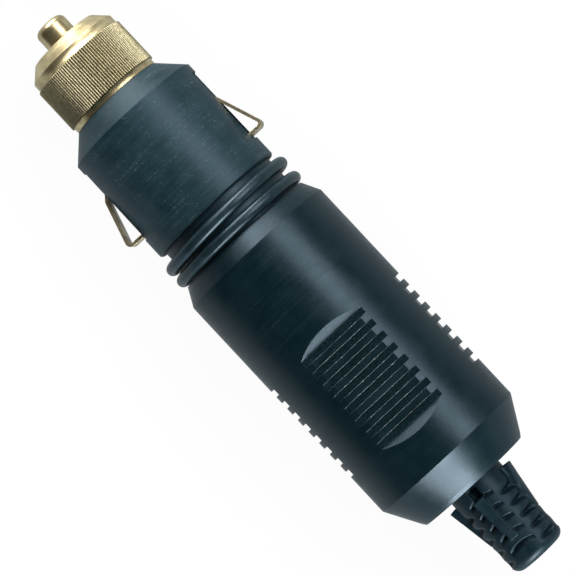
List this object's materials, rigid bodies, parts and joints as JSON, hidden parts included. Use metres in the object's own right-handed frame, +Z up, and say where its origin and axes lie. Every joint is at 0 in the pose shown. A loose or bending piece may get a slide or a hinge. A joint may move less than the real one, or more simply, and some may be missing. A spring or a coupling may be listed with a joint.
{
  "type": "cigarette lighter plug",
  "caption": "Fused plug for a vehicle lighter socket: sprung centre pin in a knurled screw cap, side springs, sealing rings, ribbed grip and a slotted cord boot.",
  "frame": {"origin": "on the plug's axis, in the middle of the clear stretch of the nose barrel behind the side springs that the socket's bore fits", "axes": "+X along the plug towards its tip, +Z up through the ribbed grip, +Y to the left side spring"},
  "size_m": [0.0998, 0.0252, 0.024],
  "materials": {
    "brass": "turned, lightly tarnished",
    "bronze_strip": "rolled strip, dull",
    "dark_plastic": "satin, rubbed",
    "boot_rubber": "matt",
    "rubber": "smooth",
    "fibre": "pressed fibre",
    "fuse_metal": "nickel plate",
    "glass": "clear",
    "spring_steel": "drawn wire",
    "screw_steel": "zinc plate",
    "pale_plastic": "as moulded"
  },
  "bodies": {
    "housing": {"nose_barrel": "dark_plastic", "handle_body": "dark_plastic", "sealing_ring_front": "rubber", "sealing_ring_rear": "rubber", "rear_contact": "brass", "positive_tab": "brass", "ground_yoke": "brass", "terminal_block": "pale_plastic", "saddle_washers": "screw_steel", "terminal_screws": "screw_steel", "cord_clamp": "pale_plastic", "clamp_screws": "screw_steel", "cord_boot": "boot_rubber", "fuse_spring": "spring_steel"},
    "cap_carriage": {"pin_washer": "fibre"},
    "cap": {"end_cap": "brass"},
    "tip": {"contact_pin": "brass", "fuse_cap_front": "fuse_metal", "fuse_glass": "glass", "fuse_wire": "fuse_metal", "fuse_cap_rear": "fuse_metal"},
    "left_spring": {"side_spring_left": "bronze_strip"},
    "right_spring": {"side_spring_right": "bronze_strip"}
  },
  "joints": [
    {"name": "cap_travel", "type": "slide", "parent": "housing", "child": "cap_carriage", "axis": [1, 0, 0], "range_m": [0, 0.006]},
    {"name": "cap_turn", "type": "hinge", "parent": "cap_carriage", "child": "cap", "pos_m": [0.024, 0, 0], "axis": [1, 0, 0], "range_deg": [0, 2160]},
    {"name": "pin_press", "type": "slide", "parent": "cap_carriage", "child": "tip", "axis": [1, 0, 0], "range_m": [-0.0025, 0], "stiffness_N_per_m": 1500, "springref_m": 0.003, "deforming": ["fuse_spring"]},
    {"name": "side_spring_left_press", "type": "hinge", "parent": "housing", "child": "left_spring", "pos_m": [0.01325, 0.00885, 0], "axis": [0, 0, 1], "range_deg": [0, 14.5], "stiffness_Nm_per_rad": 0.25, "springref_deg": -3.44},
    {"name": "side_spring_right_press", "type": "hinge", "parent": "housing", "child": "right_spring", "pos_m": [0.01325, -0.00885, 0], "axis": [0, 0, 1], "range_deg": [-14.5, 0], "stiffness_Nm_per_rad": 0.25, "springref_deg": 3.44}
  ],
  "couplings": [
    {"joint": "cap_travel", "follows": "cap_turn", "m_per_rad": 0.00015915}
  ]
}
